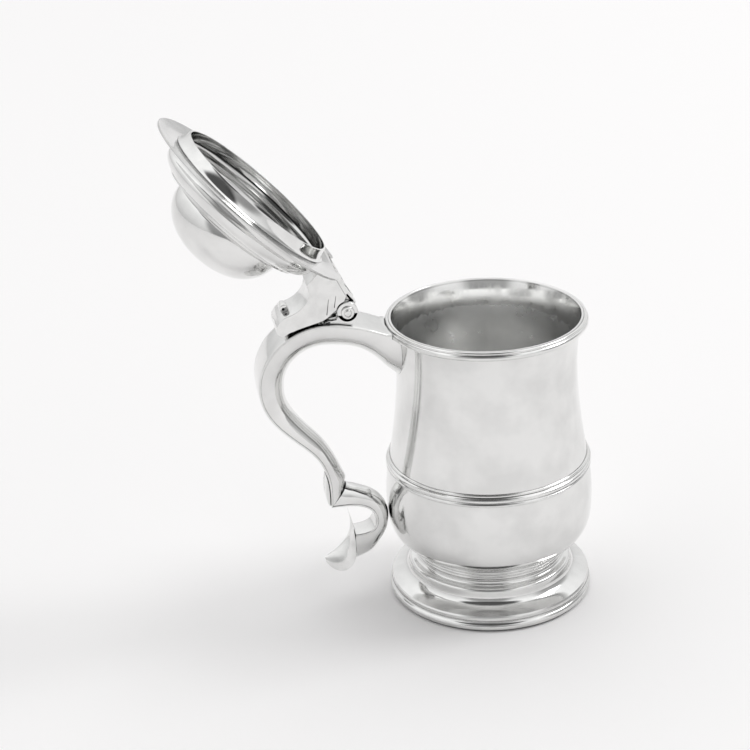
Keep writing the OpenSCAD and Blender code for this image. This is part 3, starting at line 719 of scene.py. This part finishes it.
class TANKARD_OT_lower_scroll(bpy.types.Operator):
    """Sweeps the lower scroll's gutter and flat, with the spur at the break"""
    bl_idname = "tankard.lower_scroll"
    bl_label = "Lower scroll"

    def execute(self, context):
        s, f = shape(context), finishes(context)
        pts, n, width, depth = lower_track(s)
        rings = [belly_ring(s, *row, 0.6) for row in zip(pts, n, width, depth)]
        for k in (0.25, 0.5, 0.75, 1.0):
            last = rings[len(pts) - 1].copy()
            last[:, 0] = last[:, 0] - k * (0.1 + 0.012 * (40 - last[:, 2]) ** 2)
            rings.append(last)
        obj = ribbon("lower_gutter", rings, f["raised"])
        finish_piece(obj, "handle_lower_belly", "tankard", 50)
        rings = [strap_ring(s, p, q, w) for p, q, w in zip(pts, n, width)]
        obj = ribbon("lower_flat", rings, f["raised"])
        finish_piece(obj, "handle_lower_strap", "tankard", 50)
        path = handle_paths(s)[0][3]
        back = curve(path, 100)[62:99:3] - [s.solder, 0]
        edge = curve([back[-1] + [-0.2, -0.9], back[-1] + [-2.3, 1.5],
                      back[len(back) // 2] + [-2.2, 0.6], back[0] + [-0.3, 0.2]], 16)
        obj = slab("break_spur", join(back, edge), s.break_w * 0.7, f["cast"], bevel=0.35)
        finish_piece(obj, "handle_spur", "tankard")
        return {"FINISHED"}


class TANKARD_OT_shield(bpy.types.Operator):
    """Models the eared and crested shield on the end of the lower scroll"""
    bl_idname = "tankard.shield"
    bl_label = "Shield"

    def execute(self, context):
        f = finishes(context)
        half, thick, fine = 8, 1.3, 1000
        crest = curve([[-71, 41.6], [-73.6, 36.6], [-79.5, 28.2], [-88, 25.5]], fine)
        ear = curve([[-73.2, -half * 0.75, 49.5], [-71.6, -half * 0.9, 42],
                     [-71.2, -half, 34], [-71.9, -half, 28]], fine)
        rim = curve([[-71.9, -half, 28], [-72.6, -half, 20.2], [-82, -half * 0.85, 14.8], [-88, 0, 25.5]], fine)
        v = np.linspace(-1, 1, 33)
        rows = []
        for u in np.linspace(0, 0.96, 49):
            c = crest[int(round(u * fine))]
            e = ear[int(round(u * 2 * fine))] if u < 0.5 else rim[int(round(u * 2 * fine)) - fine]
            p = np.stack([c[0] + (e[0] - c[0]) * v * v, -e[1] * v, c[1] + (e[2] - c[1]) * v * v], 1)
            inward = np.array([-70, 0, 30]) - p * [1, 0.4, 1]
            inward /= np.linalg.norm(inward, axis=1)[:, None]
            rows.append(np.concatenate([p, (p + inward * thick)[::-1]]))
        finish_piece(ribbon("scroll_shield", rows, f["cast"]), "handle_shield", "tankard", 45)
        return {"FINISHED"}


# ---------------------------------------------------------------- hinge
def knuckle_tree():
    """Geometry nodes that set a row of knuckles along the pin."""
    tree = bpy.data.node_groups.get("row_of_knuckles")
    if tree:
        return tree
    tree = new_tree("row_of_knuckles", (("Knuckle", "Geometry"), ("Count", "Int"), ("Pitch", "Float"),
                                        ("First", "Vector"), ("Finish", "Material")), "Row")
    given = add(tree, "NodeGroupInput").outputs
    step = add(tree, "ShaderNodeCombineXYZ", {"Y": given["Pitch"]}).outputs[0]
    line = add(tree, "GeometryNodeMeshLine", {
        "Count": given["Count"], "Start Location": given["First"], "Offset": step}, mode="OFFSET")
    row = add(tree, "GeometryNodeInstanceOnPoints", {"Points": line.outputs[0], "Instance": given["Knuckle"]})
    real = add(tree, "GeometryNodeRealizeInstances", {"Geometry": row.outputs[0]})
    skin = add(tree, "GeometryNodeSetMaterial", {"Geometry": real.outputs[0], "Material": given["Finish"]})
    add(tree, "NodeGroupOutput", {0: skin.outputs[0]})
    return tree


def knuckles(s, name, count, first, bore, material):
    """Knuckles on every second place along the pin, each with eased ends."""
    pitch = s.barrel_w / 5
    half = (pitch - s.knuckle_gap) / 2
    ease = 0.3
    outline = join([[bore, -half], [s.barrel_r - ease, -half]],
                   arc((s.barrel_r - ease, -half + ease), ease, -90, 0, 4),
                   arc((s.barrel_r - ease, half - ease), ease, 0, 90, 4), [[bore, half], [bore, -half]])
    n, m = 72, len(outline) - 1
    a = 2 * np.pi * np.arange(n) / n
    pts = [(r * math.cos(t), y, r * math.sin(t)) for t in a for r, y in outline[:-1]]
    faces = [(i * m + j, ((i + 1) % n) * m + j, ((i + 1) % n) * m + (j + 1) % m, i * m + (j + 1) % m)
             for i in range(n) for j in range(m)]
    obj = new_object(name, pts, faces, material)
    return run_tree(obj, knuckle_tree(), {
        "Count": count, "Pitch": 2 * pitch * MM, "Finish": material,
        "First": (-s.hinge_x * MM, (first - 2) * pitch * MM, s.hinge_z * MM)})


def strap_line(s, a, b, n, lift):
    """Points lifted off the handle's back, from share a to share b of its first curve."""
    picks = [int(round(1000 * (a + (b - a) * i / n))) for i in range(n + 1)]
    return curve(handle_paths(s)[0][0], 1000)[picks] + [0, lift]


class TANKARD_OT_hinge(bpy.types.Operator):
    """Models the hinge: its plate, its leaf, the knuckles and the pin's caps"""
    bl_idname = "tankard.hinge"
    bl_label = "Hinge"

    def execute(self, context):
        s, f = shape(context), finishes(context)
        pin = np.array([-s.hinge_x, s.hinge_z])
        pitch = s.barrel_w / 5
        top = s.rim_z
        base = strap_line(s, 0.66, 1.0, 20, s.solder)
        knee = curve([pin + [s.barrel_r, 0], pin + [s.barrel_r, -3.2],
                      pin + [s.barrel_r - 1.4, -5.6], base[0]], 16)
        parts = [knuckles(s, "plate_knuckles", 3, 0, s.pin_r + 0.02, f["cast"])]
        for k in (0, 2, 4):
            line = join(base, [[-81.5, top + 8.3], [-s.hinge_x - 5.6, top + 9.1], pin + [-s.barrel_r + 0.2, -1],
                               pin + [-2.4, -1.4], pin + [2.4, -0.6]], knee[1:-1])
            parts.append(slab("cheek", line, pitch - s.knuckle_gap, f["cast"], (k - 2) * pitch, 0.15, 2))
        back = base[base[:, 0] < -s.hinge_x - 8.0]
        line = join([[back[0][0], top + 8.9]], back, [[-81.5, top + 8.3]])
        parts.append(slab("back_plate", line, s.barrel_w - s.knuckle_gap, f["cast"], 0, 0.12, 2))
        obj = merge("hinge_plate", parts)
        finish_piece(obj, "handle_hinge_plate", "tankard")

        root = s.lip_r + 0.8

        def leaf(reach):
            low, high = (strap_line(s, 0.02, 0.74, 40, h) for h in (s.leaf_gap, s.leaf_gap + s.leaf_t))
            low, high = ([q for q in row if -s.hinge_x + reach < q[0] < -root - 0.6] for row in (low, high))
            return join([[-root + 3.6, s.flange_top + s.solder], [-root - 0.3, s.flange_top + s.solder]],
                        low, high[::-1], [[-root + 3.6, s.flange_top + 1.6]])
        parts = [knuckles(s, "leaf_knuckles", 2, 1, s.pin_r + s.pin_gap, f["cast"]),
                 slab("leaf_plate", leaf(s.barrel_r + 1), s.barrel_w - s.knuckle_gap, f["cast"], 0, 0.2, 2)]
        for k in (1, 3):
            parts.append(slab("finger", leaf(-2.4), pitch - s.knuckle_gap, f["cast"], (k - 2) * pitch, 0.0))
            line = [pin + [2, -2], pin + [0, -s.barrel_r - 0.4], pin + [s.barrel_r + 0.4, -s.barrel_r - 1.2],
                    pin + [s.barrel_r + 0.4, -s.barrel_r - 0.1], pin + [s.barrel_r - 0.7, -s.barrel_r / 2]]
            parts.append(slab("web", line, pitch - s.knuckle_gap, f["cast"], (k - 2) * pitch, 0.0))
        obj = merge("hinge_leaf", parts)
        obj.data.transform(s.swing())
        finish_piece(obj, "lid_hinge_leaf", "lid")

        for side, node in ((-1, "pin_cap_near"), (1, "pin_cap_far")):
            r, t = s.cap_r, s.cap_t
            line = join([[0, 0], [r, 0]], arc((r - 0.45, 0.45), 0.45, 0, 90, 8), [[r * 0.62, 0.75]],
                        curve([[r * 0.58, 0.7], [r * 0.5, t * 0.95], [r * 0.3, t], [0, t]], 16))
            obj = turned(context, node + "_turned", line, f["cast"])
            place = Matrix.Translation(Vector((-s.hinge_x, side * (s.barrel_w / 2 + s.solder), s.hinge_z)) * MM)
            obj.data.transform(place @ Matrix.Rotation(math.radians(side * -90), 4, "X"))
            finish_piece(obj, node, "tankard")
        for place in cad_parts["hinge_pin"].material_slots:
            place.material = f["wire"]
        return {"FINISHED"}


# ---------------------------------------------------------------- lid
class TANKARD_OT_lid(bpy.types.Operator):
    """Turns the lid's raised cover, notched over the handle, and its bezel"""
    bl_idname = "tankard.lid"
    bl_label = "Lid"

    def execute(self, context):
        s, f = shape(context), finishes(context)
        r, top, st, d = s.stage_r, s.flange_top, s.stage_top, s.dome_r

        def upper(o):
            return join(curve([[r - 0.35 - o, top + s.stage_h * 0.5], [r - 0.7 - o, top + s.stage_h * 0.72],
                               [r - 3.6 - o * 0.8, st - 0.5 - o * 0.7], [r - 6.6 - o * 0.7, st - 0.3 - o]], 30),
                        [[r - 6.9 - o, st + 0.8 - o]],
                        curve([[r - 7.6 - o * 0.5, st + 0.9 - o], [d + 4.5 - o, st + 1.5 - o],
                               [d + 1 - o, st + 1.6 - o], [d - 0.4 - o, st + 3.4 - o]], 24),
                        curve([[d - 0.3 - o, st + 3.8], [d + 0.4 - o, st + s.dome_h * 0.45],
                               [d * 0.78 - o, st + s.dome_h - o], [0, st + s.dome_h - o]], 80))
        out = join(curve([[r + 3, top], [r + 0.5, top + 0.2], [r - 2.4, top + 1],
                          [r - 0.3, top + s.stage_h * 0.45]], 30), upper(0))
        inn = join(curve([[r - 0.6, s.lid_z], [r - 1.6, s.lid_z + 0.6], [r - 2.4 - s.lid_t, top + 1],
                          [r - 0.3 - s.lid_t, top + s.stage_h * 0.45]], 30), upper(s.lid_t))
        ease = 0.35
        edge = join([[s.lip_r + 0.4, s.lid_z], [s.flange_r - 0.3, s.lid_z - s.droop]],
                    [[s.flange_r - 0.05, s.lid_z - s.droop + 0.12], [s.flange_r, s.lid_z - s.droop + ease],
                     [s.flange_r, top - s.droop - 0.4], [s.flange_r - 0.08, top - s.droop - 0.15],
                     [s.flange_r - 0.35, top - s.droop]])
        outline = join(inn[::-1], edge, out)
        obj = turned(context, "raised_lid", outline, f["lining"], f["raised"], len(inn) + 5)
        near, low, high = -s.lip_r - 0.6, s.lid_z - 5, top + 5
        cutter = slab("notch", [[-70, low], [near, low], [near, high], [-70, high]],
                      s.handle_w + 1.2, f["raised"], bevel=0)
        cut = obj.modifiers.new("notch", "BOOLEAN")
        cut.operation = "DIFFERENCE"
        cut.solver = "EXACT"
        cut.object = cutter
        bake_modifiers(obj)
        bpy.data.objects.remove(cutter)
        obj.data.transform(s.swing())
        finish_piece(obj, "lid_cover", "lid")

        b, high, low, t = s.bezel_r, s.lid_z - s.solder, s.lid_z - s.bezel_h, s.bezel_t
        line = join(curve([[b + 2.4, high], [b + 1.3, high - 0.3], [b + 0.6, high - 2], [b, low + 0.4]], 20),
                    [[b - 0.1, low + 0.1], [b - 0.35, low], [b - t + 0.2, low], [b - t + 0.05, low + 0.1],
                     [b - t, low + 0.3], [b + 0.9 - t, high], [b + 2.4, high]])
        obj = turned(context, "lid_bezel_ring", line, f["moulding"])
        obj.data.transform(s.swing())
        finish_piece(obj, "lid_bezel", "lid")
        return {"FINISHED"}


class TANKARD_OT_thumbpiece(bpy.types.Operator):
    """Models the scrolled thumbpiece: ribs over its end, a volute in front, two cut lines on each side"""
    bl_idname = "tankard.thumbpiece"
    bl_label = "Thumbpiece"

    @staticmethod
    def ribbed(points, depth, count):
        """Rounded ribs across part of the outline."""
        t = np.linspace(0, 1, len(points))
        out = normals(points)
        wave = np.sqrt(np.abs(np.sin(np.pi * count * t)))
        return points + out * (depth * (1 - wave) * smoothstep(6 * t) * smoothstep(6 * (1 - t)))[:, None]

    def execute(self, context):
        s, f = shape(context), finishes(context)
        pin = np.array([-s.hinge_x, s.hinge_z])
        clear = s.barrel_r + 0.6
        seat = strap_line(s, 0.02, 0.74, 40, s.leaf_gap + s.leaf_t + s.solder) - pin
        seat = np.array([q for q in seat if clear < q[0] < 18])
        low = s.flange_top - s.hinge_z
        line = join([[24.4, low + 0.4], [23, low + s.solder], [22.6, low + s.solder], [22.6, low + 1.65]],
                    seat, [[clear + 0.2, -5.4]], arc((0, 0), clear, -30, 28, 12),
                    curve([[13.9, 24], [11.4, 18.4], [6.2, 12.2], [5.7, 8.4]], 24)[::-1],
                    curve([[16.8, 29.6], [14.8, 29], [15.8, 26.4], [13.9, 24]], 16)[::-1][1:],
                    self.ribbed(curve([[22.2, 24], [22.2, 27.8], [19.8, 30.4], [16.8, 29.6]], 60)[::-1][1:],
                                0.35, 3),
                    curve([[18.9, 14], [19.6, 18.2], [22.2, 20], [22.2, 24]], 16)[::-1][1:],
                    curve([[24.4, 2.4], [20.2, 3.4], [18, 8], [18.9, 14]], 16)[::-1][1:])
        width = 21.4
        body = slab("scroll", line + pin, width, f["cast"], bevel=0.7, segments=4)
        roll = slab("volute", arc((22.8, 19.6), 2.1, 0, 352.5, 47) + pin, 7, f["cast"], bevel=0.3)
        # the volute's eye: a black disc set through the roll, painted shade where the scroll curls in
        eye = slab("volute_eye", arc((22.9, 19.7), 0.7, 0, 345, 23) + pin, 7.3, f["cut"], bevel=0.0)
        lines = []
        # the cut lines are the thumbpiece's own; their black is painted shade of the groove
        for start, end in (([11.6, 0.8], [6.9, 7.4]), ([9.9, -2.6], [6.6, 2.3])):
            start, end = np.array(start), np.array(end)
            side = np.array([end[1] - start[1], start[0] - end[0]]) / np.linalg.norm(end - start) * 0.18
            cut = [pin + start, pin + end - side, pin + end + side, pin + start + side]
            lines.append(slab("cut_line", cut, width + 0.06, f["cut"], bevel=0))
        obj = merge("scrolled_thumbpiece", [body, roll, eye] + lines)
        obj.data.transform(s.swing())
        finish_piece(obj, "thumbpiece", "lid", 40)
        return {"FINISHED"}


# ---------------------------------------------------------------- stage
# brightness of the studio from the horizon (0) to straight up (1)
SKY = ((0, 0.55), (1, 0.95), (0.2, 0.68), (0.5, 0.79), (0.8, 0.96))
SKY_POWER = 1.28
# dark stretches of the room: direction, where they begin and are full, and what is left of the light there
DARK = (((-0.25, -0.93, 0.28), 0.80, 0.95, 0.4),
        ((-0.1, -0.42, 0.90), 0.86, 0.93, 0.08),
        ((0.95, -0.15, 0.3), 0.8, 0.97, 0.5))


def panel(name, place, aim, size, power):
    """A soft rectangular lamp."""
    light = bpy.data.lights.new(name, "AREA")
    light.shape = "RECTANGLE"
    light.size, light.size_y = size
    light.energy = power
    obj = bpy.data.objects.new(name, light)
    ahead = Vector(aim) - Vector(place)
    obj.matrix_world = Matrix.Translation(place) @ ahead.to_track_quat("-Z", "Y").to_matrix().to_4x4()
    bpy.context.scene.collection.objects.link(obj)
    return obj


class TANKARD_OT_stage(bpy.types.Operator):
    """Sets the floor, the soft lights and the camera"""
    bl_idname = "tankard.stage"
    bl_label = "Stage"

    def execute(self, context):
        scene = context.scene
        size = 6000
        corners = [(-size, -size, 0), (size, -size, 0), (size, size, 0), (-size, size, 0)]
        floor = new_object("floor", corners, [(0, 1, 2, 3)], None)
        material = bpy.data.materials.new("matt_paper_floor")
        material.use_nodes = True
        shader = material.node_tree.nodes["Principled BSDF"]
        shader.inputs["Base Color"].default_value = (*scene.tankard_finish.floor, 1)
        shader.inputs["Roughness"].default_value = 0.9
        shader.inputs["Specular IOR Level"].default_value = 0.0
        floor.data.materials.append(material)

        world = bpy.data.worlds.new("white_studio")
        scene.world = world
        world.use_nodes = True
        sky = world.node_tree
        ways = add(sky, "ShaderNodeTexCoord").outputs["Generated"]
        height = add(sky, "ShaderNodeSeparateXYZ", {0: ways}).outputs["Z"]
        glow = add(sky, "ShaderNodeValToRGB", {"Fac": height})
        stops = glow.color_ramp.elements
        for place, level in SKY:
            stop = stops[0] if place == 0 else stops[1] if place == 1 else stops.new(place)
            stop.position, stop.color = place, (level, level, level, 1)
        power = SKY_POWER
        for toward, begin, full, left in DARK:
            near = add(sky, "ShaderNodeVectorMath", {0: ways, 1: Vector(toward).normalized()},
                       operation="DOT_PRODUCT")
            dark = add(sky, "ShaderNodeMapRange", {
                "Value": near.outputs["Value"], "From Min": begin, "From Max": full,
                "To Min": 1.0, "To Max": left},
                interpolation_type="SMOOTHSTEP").outputs["Result"]
            power = calc(sky, "MULTIPLY", dark, power)
        sky.links.new(glow.outputs["Color"], sky.nodes["Background"].inputs["Color"])
        sky.links.new(power, sky.nodes["Background"].inputs["Strength"])
        panel("soft_right", (5, 0.2, 5.2), (0, 0, 0.08), (2.5, 2.5), 115)
        scene.view_settings.view_transform = "Standard"

        # the camera stands in front and a little to the left, looking down on the open mouth
        camera = bpy.data.objects.new("camera", bpy.data.cameras.new("camera"))
        camera.data.sensor_width = 36
        camera.data.lens = 85.84
        camera.data.clip_end = 50
        ahead = Vector((0.13963, 0.90224, -0.40800)).normalized()
        right = Vector((0.98450, -0.17065, -0.04043))
        right = (right - ahead * right.dot(ahead)).normalized()
        up = right.cross(ahead)
        turn = Matrix((right, up, -ahead)).transposed().to_4x4()
        camera.matrix_world = Matrix.Translation(Vector((-0.18033, -0.79939, 0.48626))) @ turn
        scene.collection.objects.link(camera)
        scene.camera = camera
        return {"FINISHED"}


STEPS = ("body", "mouldings", "foot", "upper_scroll", "lower_scroll", "shield", "hinge", "lid", "thumbpiece",
         "stage")


class TANKARD_PT_panel(bpy.types.Panel):
    """Sizes, finish and pieces of the tankard"""
    bl_label = "Tankard"
    bl_space_type = "VIEW_3D"
    bl_region_type = "UI"
    bl_category = "Tankard"

    def draw(self, context):
        for group in (context.scene.tankard_sizes, context.scene.tankard_finish):
            column = self.layout.column(align=True)
            for name in group.__annotations__:
                column.prop(group, name)
        column = self.layout.column(align=True)
        for step in STEPS:
            column.operator("tankard." + step)


CLASSES = (TankardSizes, TankardFinish, TANKARD_OT_body, TANKARD_OT_mouldings, TANKARD_OT_foot,
           TANKARD_OT_upper_scroll, TANKARD_OT_lower_scroll, TANKARD_OT_shield, TANKARD_OT_hinge,
           TANKARD_OT_lid, TANKARD_OT_thumbpiece, TANKARD_OT_stage, TANKARD_PT_panel)


def register():
    for cls in CLASSES:
        bpy.utils.register_class(cls)
    bpy.types.Scene.tankard_sizes = bpy.props.PointerProperty(type=TankardSizes)
    bpy.types.Scene.tankard_finish = bpy.props.PointerProperty(type=TankardFinish)


def unregister():
    del bpy.types.Scene.tankard_sizes
    del bpy.types.Scene.tankard_finish
    for cls in reversed(CLASSES):
        bpy.utils.unregister_class(cls)


def main():
    register()
    for step in STEPS:
        getattr(bpy.ops.tankard, step)()


if __name__ == "__main__":
    main()
